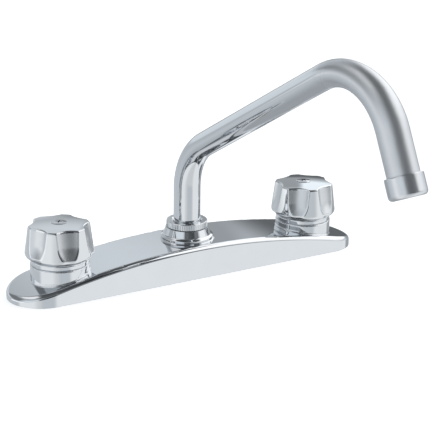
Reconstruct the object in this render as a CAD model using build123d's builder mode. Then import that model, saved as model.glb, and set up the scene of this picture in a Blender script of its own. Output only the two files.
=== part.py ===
from build123d import *
import os
from math import cos, radians, sin, sqrt

os.makedirs("parts", exist_ok=True)

# Two-handle kitchen faucet for a three-hole sink ledge, in millimetres.
# Z = 0 is the top of the ledge, X runs along the cover and the front faces -Y.
# The origin lies on the spout's turning axis, midway between the two inlet shanks.

# Cover: an arched hollow casting with a round boss at each valve.
CENTRES = 203.2  # shank to shank, the standard 8 inch hole spacing
COVER_END = 38.4  # from each valve axis to the end of the cover
COVER_WIDTH = 50.4
COVER_WALL = 2.2
CROWN_HEIGHT = 24.0  # top of the arch, in the middle
TIP_HEIGHT = 5.4  # top of the arch, at the ends
COVER_ROUND = 3.4  # radius of the upper edge
BOSS_MARGIN = 0.4  # around the escutcheon ring
BOSS_RISE = 8.2  # from the arch to the flat top of the boss
BOSS_ROUND = 0.6
PAD_MARGIN = 0.4  # around the spout collar, which seats on a flat pad
PAD_RISE = 0.4
GASKET_THICKNESS = 2.0

# Valve bodies: castings with the threaded shank in one piece.
SHANK_RADIUS = 10.4
SHANK_LENGTH = 52.0  # below the ledge
SHANK_CHAMFER = 1.0
INLET_LENGTH = 21.2  # thread for the supply line, below a run-out groove
RUN_OUT = 1.2  # width of that groove
RUN_OUT_DEPTH = 0.8
INLET_RADIUS = 6.0
CHAMBER_RADIUS = 10.0
NECK_WALL = 4.0  # around the chamber
NECK_OVER_BOSS = 2.7
BODY_FLANGE_EDGE = 3.0  # around the neck
BODY_FLANGE_THICKNESS = 3.0
CHAMBER_FLOOR = 4.5
CHAMBER_HEIGHT = 10.5
SEAT_BORE = 4.6
SEAT_THREAD_RADIUS = 7.0
SEAT_THREAD_LENGTH = 7.0
SEAT_FLANGE_RADIUS = 8.2
SEAT_FLANGE = 0.8
SEAT_RIM_RADIUS = 6.3
SEAT_RIM = 1.2
TUBE_RADIUS = 4.75  # cross tubes, 3/8 inch copper
TUBE_WALL = 0.8
TUBE_CLEAR = 0.35  # between a cross tube's outer end and the cover's hollow
TUBE_SEATING = 3.2  # how far a cross tube enters its socket

# Deck washers and lock nuts, drawn up under a ledge of this thickness.
LEDGE = 20.0
DECK_WASHER_RADIUS = 19.0
DECK_WASHER = 1.6
LOCK_NUT_FLATS = 34.0
LOCK_NUT = 7.0
LOCK_NUT_CORNER = 1.4  # height of the slope that takes off its corners

# Escutcheon rings, screwed on the valve necks over the cover.
ESCUTCHEON_WALL = 6.2  # around the neck that it screws on
ESCUTCHEON = 4.0
ESCUTCHEON_ROUND = 1.4

# Headworks: the bushing that carries the spindle and guides the plunger.
BONNET_GASKET = 0.8
BONNET_GASKET_WIDTH = 2.4
BONNET_SEAT = 1.0  # how far the flats overhang the chamber
BONNET_FLANGE = 4.0
BONNET_NECK_WALL = 3.0  # around the spindle
BONNET_NECK = 6.7
SPINDLE_CHAMFER = 0.5  # on the spindle's foot and the bonnet's neck
SPINDLE_RADIUS = 4.0
SHOULDER_STEP = 1.4
SHOULDER = 1.6
CLIP_GROOVE_DEPTH = 0.8
BONNET_BORE = 8.8  # plain bore over the shoulder, which the seals run in
SEAL_CORD = 1.4
SEAL_PITCH = 3.6
SEAL_GROOVE = 1.2  # width of a seal's groove, in cords
CLIP_WIDTH = 2.0  # beyond the spindle
CLIP = 0.9
DRIVE_FLATS = 5.6  # square end of the spindle

# Plungers: they rise and fall without turning, on the spindle's thread.
PLUNGER_FLATS = 12.0
PLUNGER_PLAY = 0.3  # across the flats of the bonnet's bore
PLUNGER_LIFT = 3.0
PLUNGER_FLANGE_RADIUS = 7.4
PLUNGER_FLANGE = 1.5
PLUNGER_FLOOR = 5.0  # solid end under the threaded bore
WASHER_OVERLAP = 0.3  # beyond the seat's rim
WASHER = 3.5
SEAT_SCREW_RADIUS = 1.5
SEAT_SCREW_HEAD_RADIUS = 3.0
SEAT_SCREW_HEAD = 1.6
SEAT_SCREW_SUNK = 0.4
SEAT_SCREW_LENGTH = 5.2
SEAT_SCREW_SLOT = 0.8

# Knobs: hollow, six-lobed, with concave flutes that run out above the lower rim.
KNOB_GAP = 0.7  # above the escutcheon
KNOB_HEIGHT = 24.2
KNOB_RADIUS = 24.4  # where the line of the flank meets the rim's level
KNOB_TOP_RADIUS = 21.4
KNOB_RIM = 3.0  # radius of the rounded lower rim
KNOB_DOME = 1.2  # rise of the crown from its edge to its middle
KNOB_ROUND = 1.2  # around the crown
LOBE_ROUND = 1.5  # around each flute
KNOB_WALL = 2.4
LOBES = 6
FLUTE_RADIUS = 17.0
FLUTE_DEPTH_RADIUS = 18.1  # from the knob's axis to the bottom of a flute, at the crown
FLUTE_SWEEP = 37.0  # radius of that line, which runs out above the rim
SPOT_FACE = 0.25  # depth of the flat under the screw's head
HUB_RADIUS = 7.6
HUB_ABOVE_CLIP = 0.8
KNOB_RIB = 1.4  # one rib under each lobe, from the hub to the wall
KNOB_RIB_DEPTH = 6.5
HOT_LOBE_ANGLE = 51.0
COLD_LOBE_ANGLE = 16.0
SCREW_HEAD_RADIUS = 5.2
SCREW_HEAD = 0.9
SCREW_RADIUS = 1.6
SCREW_LENGTH = 11.0
SCREW_SOCKET = 1.0  # hole left under the screw's tip
CROSS_LENGTH = 4.4
CROSS_WIDTH = 1.0
CROSS_DEPTH = 1.5

# Spout post, its collar and the knurled nut.
SLEEVE_WALL = 1.8  # from the tube to the bore of the post
POST_NECK_WALL = 1.5
POST_SHOULDER = 2.0  # around the neck, under the cover
POST_CLEAR = 0.4  # between the shoulder and the cover's hollow
POST_BORE_FLOOR = 14.0
POST_CHAMBER_RADIUS = 9.0
COLLAR_TOP_WALL = 2.4  # around the post's neck
COLLAR_WAIST_WALL = 4.2
COLLAR_FLANGE_WALL = 6.0
COLLAR_FLANGE = 1.7
COLLAR_FLANGE_ROUND = 0.7
COLLAR_SLOPE = 1.2  # height of the slope from flange to waist, and its upper round
COLLAR_HEIGHT = 8.0
NUT_WALL = 1.8  # around the post's neck
NUT_HEIGHT = 4.8
NUT_LIP = 1.9
NUT_EDGE = 0.5  # chamfers around the knurl
NUT_MOUTH = 1.2  # chamfer around the tube
KNURLS = 60
KNURL = 0.8  # side of the square tool that cuts each groove

# Spout: a swept tube that narrows through the rise and widens to its outlet.
SPOUT_TURN = 6.0  # how far the spout is swung from straight ahead, in degrees
LEG_RADIUS = 9.7
RISE_RADIUS = 8.75
DROP_RADIUS = 10.45
SPOUT_WALL = 1.2
SPOUT_STATIONS = 8  # sections along each bend, where the tube narrows and widens
ELBOW_HEIGHT = 86.0
ELBOW_BEND = 42.5
ARCH_REACH = 186.0
ARCH_HEIGHT = 194.6
ARCH_BEND = 45.0
OUTLET_REACH = 223.0
OUTLET_HEIGHT = 111.0
SLIP_RING = 0.8
SPOUT_SEAL_CORD = 1.1
SPOUT_SEAL_PITCH = 7.0

# Aerator on the end of the spout.
AERATOR_WALL = 1.8  # around the end of the tube
AERATOR_LENGTH = 14.0
AERATOR_ROUND = 2.8
AERATOR_EDGE = 0.6
AERATOR_LEDGE = 1.15  # width of the lip that the cage stands on
AERATOR_LIP = 1.5
AERATOR_THREAD = 6.6  # how far the tube enters the housing
AERATOR_SCREEN = 0.5
AERATOR_WASHER = 1.8
CAGE_WALL = 1.2
CAGE_ROOF = 1.0
CAGE_HOLES = 12
CAGE_HOLE = 1.1
CAGE_HOLE_CIRCLE = 5.6
GRID = 1.2  # depth of the grid across the mouth
GRID_RINGS = 3
GRID_BAR = 0.8
GRID_PITCH = 2.6

# Clearances.
THREAD_GAP = 0.05  # between screwed or brazed pieces
RUNNING_GAP = 0.06  # between a turning or sliding shaft and its bore
LOOSE_GAP = 0.3  # holes that a neck or shank passes through
END_GAP = 0.15  # end float of the turning pieces

# Heights and places that follow from the sizes above.
half_centres = CENTRES / 2
half_length = half_centres + COVER_END
cover_length = 2 * half_length
neck_radius = CHAMBER_RADIUS + NECK_WALL
body_flange = neck_radius + BODY_FLANGE_EDGE
escutcheon_radius = neck_radius + ESCUTCHEON_WALL
boss_radius = escutcheon_radius + BOSS_MARGIN
post_bore = LEG_RADIUS + SLEEVE_WALL
post_neck = post_bore + POST_NECK_WALL
post_radius = post_neck + POST_SHOULDER
collar_radius = post_neck + COLLAR_FLANGE_WALL
pad_radius = collar_radius + PAD_MARGIN
nut_radius = post_neck + NUT_WALL
shoulder_radius = SPINDLE_RADIUS + SHOULDER_STEP
bonnet_neck = SPINDLE_RADIUS + BONNET_NECK_WALL
clip_groove = SPINDLE_RADIUS - CLIP_GROOVE_DEPTH
clip_radius = SPINDLE_RADIUS + CLIP_WIDTH
arch_drop = CROWN_HEIGHT - TIP_HEIGHT
arch_radius = (half_length**2 + arch_drop**2) / (2 * arch_drop)


def arch_height(x):
    """Top of the arched cover at a distance x from its middle."""
    return CROWN_HEIGHT - arch_radius + sqrt(arch_radius**2 - x**2)


boss_top = arch_height(half_centres) + BOSS_RISE
post_shoulder = CROWN_HEIGHT - COVER_WALL - POST_CLEAR
tube_height = arch_height(half_centres - neck_radius) - COVER_WALL - TUBE_CLEAR - TUBE_RADIUS
neck_top = boss_top + NECK_OVER_BOSS
pad_top = CROWN_HEIGHT + PAD_RISE
seat_top = CHAMBER_FLOOR + SEAT_FLANGE + SEAT_RIM
skirt_low = CHAMBER_FLOOR + CHAMBER_HEIGHT
bonnet_low = neck_top + BONNET_GASKET
bonnet_high = bonnet_low + BONNET_FLANGE
bonnet_top = bonnet_high + BONNET_NECK
shoulder_top = bonnet_top - BONNET_BORE
shoulder_low = shoulder_top - SHOULDER
plunger_low = seat_top + WASHER
plunger_high = shoulder_low - LOOSE_GAP - PLUNGER_LIFT
thread_end = plunger_low + PLUNGER_FLOOR + PLUNGER_LIFT + END_GAP
escutcheon_top = boss_top + ESCUTCHEON
knob_low = escutcheon_top + KNOB_GAP
knob_top = knob_low + KNOB_HEIGHT
knob_roof = knob_top - KNOB_WALL
screw_seat = knob_top - SPOT_FACE
screw_tip = screw_seat - SCREW_LENGTH
clip_low = bonnet_top + END_GAP
hub_low = clip_low + CLIP + HUB_ABOVE_CLIP
spindle_top = knob_roof - END_GAP
collar_top = pad_top + COLLAR_HEIGHT
nut_low = collar_top + END_GAP
nut_top = nut_low + NUT_HEIGHT
slip_top = nut_top - NUT_LIP
post_top = slip_top
sleeve_low = POST_BORE_FLOOR + LOOSE_GAP
sleeve_top = post_top - SLIP_RING - END_GAP


def upright(x):
    """Drawing plane that stands on the axis at x: across is radius, up is height."""
    return Plane(origin=(x, 0, 0), x_dir=(1, 0, 0), z_dir=(0, -1, 0))


def axis_at(x):
    """Vertical axis of the pieces at x."""
    return Axis((x, 0, 0), (0, 0, 1))


def step(inner, outer, low, high, mode=Mode.ADD):
    """One step of a turned piece's half section."""
    with Locations(((inner + outer) / 2, (low + high) / 2)):
        Rectangle(outer - inner, high - low, mode=mode)


def corner(across, up):
    """The corner of the half section being drawn that lies nearest to that place."""
    return vertices().sort_by_distance((across, up))[0]


def groove(radius, height, cord):
    """Cuts a seal's groove into the outside of the half section being drawn."""
    half = SEAL_GROOVE * cord / 2
    step(radius - cord, radius + 1, height - half, height + half, mode=Mode.SUBTRACT)


# The cover's hollow: the same arch and plan, a wall's thickness inside.
with BuildPart() as hollow:
    with BuildSketch(Plane.XZ):
        with BuildLine():
            ceiling = ThreePointArc(
                (-half_length, TIP_HEIGHT - COVER_WALL),
                (0, CROWN_HEIGHT - COVER_WALL),
                (half_length, TIP_HEIGHT - COVER_WALL),
            )
            Polyline(ceiling @ 1, (half_length, -1), (-half_length, -1), ceiling @ 0)
        make_face()
    extrude(amount=COVER_WIDTH / 2, both=True)
    with BuildSketch(Plane.XY.offset(-1)):
        SlotOverall(cover_length - 2 * COVER_WALL, COVER_WIDTH - 2 * COVER_WALL)
    extrude(amount=CROWN_HEIGHT, mode=Mode.INTERSECT)

# Cover: one arched shell over both valves and the spout post.
with BuildPart() as cover:
    with BuildSketch(Plane.XZ):
        with BuildLine():
            roof = ThreePointArc(
                (-half_length, TIP_HEIGHT), (0, CROWN_HEIGHT), (half_length, TIP_HEIGHT)
            )
            Polyline(roof @ 1, (half_length, 0), (-half_length, 0), roof @ 0)
        make_face()
    extrude(amount=COVER_WIDTH / 2, both=True)
    with BuildSketch(Plane.XY):
        SlotOverall(cover_length, COVER_WIDTH)
    extrude(amount=CROWN_HEIGHT + 1, mode=Mode.INTERSECT)
    fillet(cover.faces().sort_by(Axis.Z)[-1].edges(), COVER_ROUND)
    for x in (-half_centres, half_centres):
        with BuildSketch(upright(x)):
            step(0, boss_radius, TIP_HEIGHT / 2, boss_top)
            fillet(corner(boss_radius, boss_top), BOSS_ROUND)
        revolve(axis=axis_at(x))
    with BuildSketch(upright(0)):
        step(0, pad_radius, CROWN_HEIGHT / 2, pad_top)
    revolve(axis=axis_at(0))
    add(hollow.part, mode=Mode.SUBTRACT)
    for x in (-half_centres, half_centres):
        with BuildSketch(upright(x)):
            step(0, boss_radius - COVER_WALL, 0, boss_top - COVER_WALL)
            step(0, neck_radius + LOOSE_GAP, 0, boss_top + 1)
        revolve(axis=axis_at(x), mode=Mode.SUBTRACT)
    with BuildSketch(upright(0)):
        step(0, post_neck + LOOSE_GAP, 0, pad_top + 1)
    revolve(axis=axis_at(0), mode=Mode.SUBTRACT)
cover.part.label = "base_cover"
export_step(cover.part, "parts/base_cover.step")

# Base gasket: a flat pad inside the cover's rim, under the brass.
with BuildPart() as gasket:
    rim = 2 * (COVER_WALL + LOOSE_GAP)
    with BuildSketch(Plane.XY):
        SlotOverall(cover_length - rim, COVER_WIDTH - rim)
        with Locations((-half_centres, 0), (half_centres, 0)):
            Circle(SHANK_RADIUS + LOOSE_GAP, mode=Mode.SUBTRACT)
    extrude(amount=GASKET_THICKNESS)
gasket.part.label = "base_gasket"
export_step(gasket.part, "parts/base_gasket.step")

# Spout post: the middle casting, with a socket each side for a cross tube.
with BuildPart() as post:
    with BuildSketch(upright(0)):
        step(0, post_radius, GASKET_THICKNESS, post_shoulder)
        step(0, post_neck, GASKET_THICKNESS, post_top)
        step(0, post_bore, POST_BORE_FLOOR, post_top, mode=Mode.SUBTRACT)
        step(0, POST_CHAMBER_RADIUS, CHAMBER_FLOOR, POST_BORE_FLOOR, mode=Mode.SUBTRACT)
    revolve(axis=axis_at(0))
    with BuildSketch(Plane.YZ):
        with Locations((0, tube_height)):
            Circle(TUBE_RADIUS + THREAD_GAP)
    extrude(amount=post_radius + 1, both=True, mode=Mode.SUBTRACT)
post.part.label = "spout_post"
export_step(post.part, "parts/spout_post.step")

# Collar: screws down on the post's neck and holds the middle of the cover.
with BuildPart() as collar:
    waist_low = pad_top + COLLAR_FLANGE + COLLAR_SLOPE
    waist_radius = post_neck + COLLAR_WAIST_WALL
    with BuildSketch(upright(0)):
        with BuildLine():
            foot = Polyline(
                (post_neck + THREAD_GAP, pad_top),
                (collar_radius, pad_top),
                (collar_radius, pad_top + COLLAR_FLANGE),
            )
            waist = Line(foot @ 1, (waist_radius, waist_low))
            cone = Line(waist @ 1, (post_neck + COLLAR_TOP_WALL, collar_top))
            Polyline(cone @ 1, (post_neck + THREAD_GAP, collar_top), foot @ 0)
        make_face()
        fillet(corner(collar_radius, pad_top + COLLAR_FLANGE), COLLAR_FLANGE_ROUND)
        fillet(corner(waist_radius, waist_low), COLLAR_SLOPE)
    revolve(axis=axis_at(0))
collar.part.label = "spout_collar"
export_step(collar.part, "parts/spout_collar.step")

# Nut: its lip holds the slip ring and the spout's sleeve down in the post.
with BuildPart() as nut:
    bore = post_neck + THREAD_GAP
    with BuildSketch(upright(0)):
        step(LEG_RADIUS + LOOSE_GAP, nut_radius, nut_low, nut_top)
        step(0, bore, nut_low, slip_top + THREAD_GAP, mode=Mode.SUBTRACT)
        chamfer(corner(nut_radius, nut_top), NUT_EDGE)
        chamfer(corner(nut_radius, nut_low), NUT_EDGE)
        chamfer(corner(LEG_RADIUS + LOOSE_GAP, nut_top), NUT_MOUTH)
    revolve(axis=axis_at(0))
    with BuildSketch(Plane.XY.offset(nut_low)):
        with PolarLocations(nut_radius, KNURLS):
            Rectangle(KNURL, KNURL, rotation=45)
    extrude(amount=NUT_HEIGHT, mode=Mode.SUBTRACT)
nut.part.label = "spout_nut"
export_step(nut.part, "parts/spout_nut.step")

# Spout tube: the centre line lies in one upright plane through the post's axis.
forward = Vector(sin(radians(SPOUT_TURN)), -cos(radians(SPOUT_TURN)), 0)
sideways = Vector(0, 0, 1).cross(forward)
spout_plane = Plane(origin=(0, 0, 0), x_dir=forward, z_dir=forward.cross(Vector(0, 0, 1)))
high_corner = Vector(ARCH_REACH, ARCH_HEIGHT)
mouth = Vector(OUTLET_REACH, OUTLET_HEIGHT)
drop = (mouth - high_corner).normalized()
tube_end = mouth - drop * (AERATOR_LENGTH - AERATOR_THREAD)

with BuildLine(spout_plane) as route:
    FilletPolyline(
        (0, sleeve_low),
        (0, ELBOW_HEIGHT),
        (high_corner.X, high_corner.Y),
        (tube_end.X, tube_end.Y),
        radius=[ELBOW_BEND, ARCH_BEND],
    )
leg, elbow, rise, bend, fall = route.edges().sort_by(route.wires()[0])

with BuildPart() as spout:
    for wall, mode in ((0, Mode.ADD), (SPOUT_WALL, Mode.SUBTRACT)):
        for stretch, first, last in (
            (leg, LEG_RADIUS, LEG_RADIUS),
            (elbow, LEG_RADIUS, RISE_RADIUS),
            (rise, RISE_RADIUS, RISE_RADIUS),
            (bend, RISE_RADIUS, DROP_RADIUS),
            (fall, DROP_RADIUS, DROP_RADIUS),
        ):
            steps = 1 if first == last else SPOUT_STATIONS
            for n in range(steps + 1):
                along = n / steps
                eased = along * along * (3 - 2 * along)
                place = Plane(origin=stretch @ along, x_dir=sideways, z_dir=stretch % along)
                with BuildSketch(place):
                    Circle(first + (last - first) * eased - wall)
            sweep(path=stretch, multisection=True, mode=mode)
spout.part.label = "spout_tube"
export_step(spout.part, "parts/spout_tube.step")

# Sleeve: brazed on the foot of the tube, grooved for two seals.
sleeve_radius = post_bore - RUNNING_GAP
seal_middle = (sleeve_low + sleeve_top) / 2
spout_seal_heights = [seal_middle - SPOUT_SEAL_PITCH / 2, seal_middle + SPOUT_SEAL_PITCH / 2]
with BuildPart() as sleeve:
    with BuildSketch(upright(0)):
        step(LEG_RADIUS + THREAD_GAP, sleeve_radius, sleeve_low, sleeve_top)
        for height in spout_seal_heights:
            groove(sleeve_radius, height, SPOUT_SEAL_CORD)
    revolve(axis=axis_at(0))
sleeve.part.label = "spout_sleeve"
export_step(sleeve.part, "parts/spout_sleeve.step")

with BuildPart() as spout_seals:
    with BuildSketch(upright(0)):
        for height in spout_seal_heights:
            with Locations((sleeve_radius + RUNNING_GAP / 2 - SPOUT_SEAL_CORD / 2, height)):
                Circle(SPOUT_SEAL_CORD / 2)
    revolve(axis=axis_at(0))
spout_seals.part.label = "spout_seals"
export_step(spout_seals.part, "parts/spout_seals.step")

# Slip ring: a plain bearing between the sleeve's end and the nut's lip.
with BuildPart() as slip_ring:
    with BuildSketch(upright(0)):
        step(LEG_RADIUS + RUNNING_GAP, post_bore - THREAD_GAP, slip_top - SLIP_RING, slip_top)
    revolve(axis=axis_at(0))
slip_ring.part.label = "slip_ring"
export_step(slip_ring.part, "parts/slip_ring.step")

# Aerator: turned pieces drawn from the mouth, square to the end of the spout.
mouth_point = forward * mouth.X + Vector(0, 0, mouth.Y)
downstream = forward * drop.X + Vector(0, 0, drop.Y)
outlet_section = Plane(
    origin=mouth_point, x_dir=sideways, z_dir=sideways.cross(downstream * -1)
)
outlet_axis = Axis(mouth_point, downstream)
lip_top = AERATOR_LIP
cage_top = AERATOR_LENGTH - AERATOR_THREAD - AERATOR_WASHER - AERATOR_SCREEN
screen_top = cage_top + AERATOR_SCREEN
washer_top = screen_top + AERATOR_WASHER
thread_radius = DROP_RADIUS + THREAD_GAP
cage_radius = thread_radius - THREAD_GAP
aerator_radius = thread_radius + AERATOR_WALL

with BuildPart() as housing:
    with BuildSketch(outlet_section):
        step(cage_radius - AERATOR_LEDGE, aerator_radius, 0, AERATOR_LENGTH)
        step(0, thread_radius, lip_top, AERATOR_LENGTH, mode=Mode.SUBTRACT)
        fillet(corner(aerator_radius, 0), AERATOR_ROUND)
        fillet(corner(aerator_radius, AERATOR_LENGTH), AERATOR_EDGE)
    revolve(axis=outlet_axis)
housing.part.label = "aerator_housing"
export_step(housing.part, "parts/aerator_housing.step")

# Cage: a cup with a pierced roof and a ringed grid across its mouth.
with BuildPart() as cage:
    with BuildSketch(outlet_section):
        step(cage_radius - CAGE_WALL, cage_radius, lip_top, cage_top)
        step(0, cage_radius, cage_top - CAGE_ROOF, cage_top)
        for ring in range(GRID_RINGS):
            inner = GRID_BAR + GRID_PITCH * ring
            step(inner, inner + GRID_BAR, lip_top, lip_top + GRID)
    revolve(axis=outlet_axis)
    grid = Plane(origin=outlet_section.from_local_coords((0, lip_top, 0)), z_dir=downstream * -1)
    with BuildSketch(grid):
        with PolarLocations(0, 3):
            Rectangle(2 * cage_radius - CAGE_WALL, GRID_BAR)
    extrude(amount=GRID)
    with BuildSketch(grid.offset(cage_top - lip_top)):
        with PolarLocations(CAGE_HOLE_CIRCLE, CAGE_HOLES):
            Circle(CAGE_HOLE)
    extrude(amount=-CAGE_ROOF, mode=Mode.SUBTRACT)
cage.part.label = "aerator_cage"
export_step(cage.part, "parts/aerator_cage.step")

with BuildPart() as screen:
    with BuildSketch(outlet_section):
        step(0, cage_radius, cage_top, screen_top)
    revolve(axis=outlet_axis)
screen.part.label = "aerator_screen"
export_step(screen.part, "parts/aerator_screen.step")

with BuildPart() as aerator_washer:
    with BuildSketch(outlet_section):
        step(DROP_RADIUS - 2 * SPOUT_WALL, cage_radius, screen_top, washer_top)
    revolve(axis=outlet_axis)
aerator_washer.part.label = "aerator_washer"
export_step(aerator_washer.part, "parts/aerator_washer.step")

# Washers and lock nuts that draw both shanks down from under the ledge.
with BuildPart() as deck_washers:
    with BuildSketch(Plane.XY.offset(-LEDGE)):
        with Locations((-half_centres, 0), (half_centres, 0)):
            Circle(DECK_WASHER_RADIUS)
            Circle(SHANK_RADIUS + LOOSE_GAP, mode=Mode.SUBTRACT)
    extrude(amount=-DECK_WASHER)
deck_washers.part.label = "deck_washers"
export_step(deck_washers.part, "parts/deck_washers.step")

with BuildPart() as lock_nuts:
    with BuildSketch(Plane.XY.offset(-LEDGE - DECK_WASHER)):
        with Locations((-half_centres, 0), (half_centres, 0)):
            RegularPolygon(LOCK_NUT_FLATS / 2, 6, major_radius=False)
            Circle(SHANK_RADIUS + THREAD_GAP, mode=Mode.SUBTRACT)
    extrude(amount=-LOCK_NUT)
    nut_foot = -LEDGE - DECK_WASHER - LOCK_NUT
    for x in (-half_centres, half_centres):
        with BuildSketch(upright(x)):
            with BuildLine():
                rounded = LOCK_NUT_FLATS / 2 + LOCK_NUT_CORNER / 2
                Polyline(
                    (rounded - LOCK_NUT_CORNER, nut_foot),
                    (rounded + LOCK_NUT_CORNER, nut_foot + LOCK_NUT_CORNER),
                    (rounded + LOCK_NUT_CORNER, nut_foot),
                    close=True,
                )
            make_face()
        revolve(axis=axis_at(x), mode=Mode.SUBTRACT)
lock_nuts.part.label = "lock_nuts"
export_step(lock_nuts.part, "parts/lock_nuts.step")

# The two valves are alike. Each knob keeps the turn that it was left at.
spindle_seal_heights = [shoulder_top + SEAL_PITCH * (n + 0.6) for n in range(2)]
for side, x, lobe_angle in (
    ("hot", -half_centres, HOT_LOBE_ANGLE),
    ("cold", half_centres, COLD_LOBE_ANGLE),
):
    section = upright(x)
    turning = axis_at(x)
    inward = 1 if x < 0 else -1

    # Valve body: shank, deck flange, chamber and threaded neck.
    with BuildPart() as body:
        flange_top = GASKET_THICKNESS + BODY_FLANGE_THICKNESS
        with BuildSketch(section):
            step(0, SHANK_RADIUS, -SHANK_LENGTH, GASKET_THICKNESS)
            step(0, body_flange, GASKET_THICKNESS, flange_top)
            step(0, neck_radius, GASKET_THICKNESS, neck_top)
            chamfer(corner(SHANK_RADIUS, -SHANK_LENGTH), SHANK_CHAMFER)
            inlet_top = INLET_LENGTH - SHANK_LENGTH
            run_out = SHANK_RADIUS - RUN_OUT_DEPTH
            step(run_out, SHANK_RADIUS + 1, inlet_top, inlet_top + RUN_OUT, mode=Mode.SUBTRACT)
            step(0, INLET_RADIUS, -SHANK_LENGTH, CHAMBER_FLOOR, mode=Mode.SUBTRACT)
            seat_pocket = CHAMBER_FLOOR - SEAT_THREAD_LENGTH - END_GAP
            seat_hole = SEAT_THREAD_RADIUS + THREAD_GAP
            step(0, seat_hole, seat_pocket, CHAMBER_FLOOR, mode=Mode.SUBTRACT)
            step(0, CHAMBER_RADIUS, CHAMBER_FLOOR, neck_top, mode=Mode.SUBTRACT)
        revolve(axis=turning)
        with BuildSketch(Plane.YZ.offset(x)):
            with Locations((0, tube_height)):
                Circle(TUBE_RADIUS + THREAD_GAP)
        extrude(amount=inward * (body_flange + 1), mode=Mode.SUBTRACT)
    body.part.label = f"valve_body_{side}"
    export_step(body.part, f"parts/valve_body_{side}.step")

    # Cross tube: from the valve's chamber to the spout post.
    with BuildPart() as cross_tube:
        outer_end = half_centres - neck_radius + TUBE_SEATING
        inner_end = post_radius - TUBE_SEATING
        with BuildSketch(Plane.YZ.offset(-inward * inner_end)):
            with Locations((0, tube_height)):
                Circle(TUBE_RADIUS)
                Circle(TUBE_RADIUS - TUBE_WALL, mode=Mode.SUBTRACT)
        extrude(amount=-inward * (outer_end - inner_end))
    cross_tube.part.label = f"cross_tube_{side}"
    export_step(cross_tube.part, f"parts/cross_tube_{side}.step")

    # Seat: screwed into the chamber's floor, with a raised rim for the washer.
    with BuildPart() as seat:
        with BuildSketch(section):
            step(SEAT_BORE, SEAT_THREAD_RADIUS, CHAMBER_FLOOR - SEAT_THREAD_LENGTH, CHAMBER_FLOOR)
            step(SEAT_BORE, SEAT_FLANGE_RADIUS, CHAMBER_FLOOR, CHAMBER_FLOOR + SEAT_FLANGE)
            step(SEAT_BORE, SEAT_RIM_RADIUS, CHAMBER_FLOOR, seat_top)
        revolve(axis=turning)
    seat.part.label = f"valve_seat_{side}"
    export_step(seat.part, f"parts/valve_seat_{side}.step")

    # Escutcheon: a ring nut over the cover's boss.
    with BuildPart() as escutcheon:
        with BuildSketch(section):
            step(neck_radius + THREAD_GAP, escutcheon_radius, boss_top, escutcheon_top)
            fillet(corner(escutcheon_radius, escutcheon_top), ESCUTCHEON_ROUND)
            chamfer(corner(escutcheon_radius, boss_top), BOSS_ROUND)
        revolve(axis=turning)
    escutcheon.part.label = f"escutcheon_{side}"
    export_step(escutcheon.part, f"parts/escutcheon_{side}.step")

    with BuildPart() as bonnet_gasket:
        with BuildSketch(section):
            step(CHAMBER_RADIUS + THREAD_GAP, CHAMBER_RADIUS + BONNET_GASKET_WIDTH, neck_top, bonnet_low)
        revolve(axis=turning)
    bonnet_gasket.part.label = f"bonnet_gasket_{side}"
    export_step(bonnet_gasket.part, f"parts/bonnet_gasket_{side}.step")

    # Bonnet: its hexagon bore guides the plunger and its neck carries the spindle.
    with BuildPart() as bonnet:
        with BuildSketch(section):
            step(0, CHAMBER_RADIUS - THREAD_GAP, skirt_low, bonnet_low)
            step(0, bonnet_neck, bonnet_low, bonnet_top)
            chamfer(corner(bonnet_neck, bonnet_top), SPINDLE_CHAMFER)
        revolve(axis=turning)
        with BuildSketch(Plane((x, 0, bonnet_low))):
            RegularPolygon(CHAMBER_RADIUS + BONNET_SEAT, 6, major_radius=False)
        extrude(amount=BONNET_FLANGE)
        with BuildSketch(Plane((x, 0, skirt_low))):
            RegularPolygon((PLUNGER_FLATS + PLUNGER_PLAY) / 2, 6, major_radius=False)
        extrude(amount=shoulder_low - skirt_low, mode=Mode.SUBTRACT)
        with BuildSketch(section):
            step(0, shoulder_radius + RUNNING_GAP, shoulder_low - 1, shoulder_top + END_GAP)
            step(0, SPINDLE_RADIUS + RUNNING_GAP, shoulder_low - 1, bonnet_top + 1)
        revolve(axis=turning, mode=Mode.SUBTRACT)
    bonnet.part.label = f"bonnet_{side}"
    export_step(bonnet.part, f"parts/bonnet_{side}.step")

    # Plunger: a hexagon that the spindle's thread lifts, with a flange for its washer.
    with BuildPart() as plunger:
        with BuildSketch(section):
            step(0, PLUNGER_FLANGE_RADIUS, plunger_low, plunger_low + PLUNGER_FLANGE)
        revolve(axis=turning)
        with BuildSketch(Plane((x, 0, plunger_low + PLUNGER_FLANGE))):
            RegularPolygon(PLUNGER_FLATS / 2, 6, major_radius=False)
        extrude(amount=plunger_high - plunger_low - PLUNGER_FLANGE)
        tip = seat_top + SEAT_SCREW_SUNK + SEAT_SCREW_HEAD + SEAT_SCREW_LENGTH
        with BuildSketch(section):
            step(0, SPINDLE_RADIUS + RUNNING_GAP, plunger_low + PLUNGER_FLOOR, plunger_high + 1)
            step(0, SEAT_SCREW_RADIUS + THREAD_GAP, plunger_low - 1, tip + END_GAP)
        revolve(axis=turning, mode=Mode.SUBTRACT)
    plunger.part.label = f"plunger_{side}"
    export_step(plunger.part, f"parts/plunger_{side}.step")

    with BuildPart() as seat_washer:
        pocket_top = seat_top + SEAT_SCREW_SUNK + SEAT_SCREW_HEAD
        with BuildSketch(section):
            step(SEAT_SCREW_RADIUS + THREAD_GAP, (SEAT_RIM_RADIUS + WASHER_OVERLAP), seat_top, plunger_low)
            step(0, SEAT_SCREW_HEAD_RADIUS + THREAD_GAP, seat_top, pocket_top, mode=Mode.SUBTRACT)
        revolve(axis=turning)
    seat_washer.part.label = f"seat_washer_{side}"
    export_step(seat_washer.part, f"parts/seat_washer_{side}.step")

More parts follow.
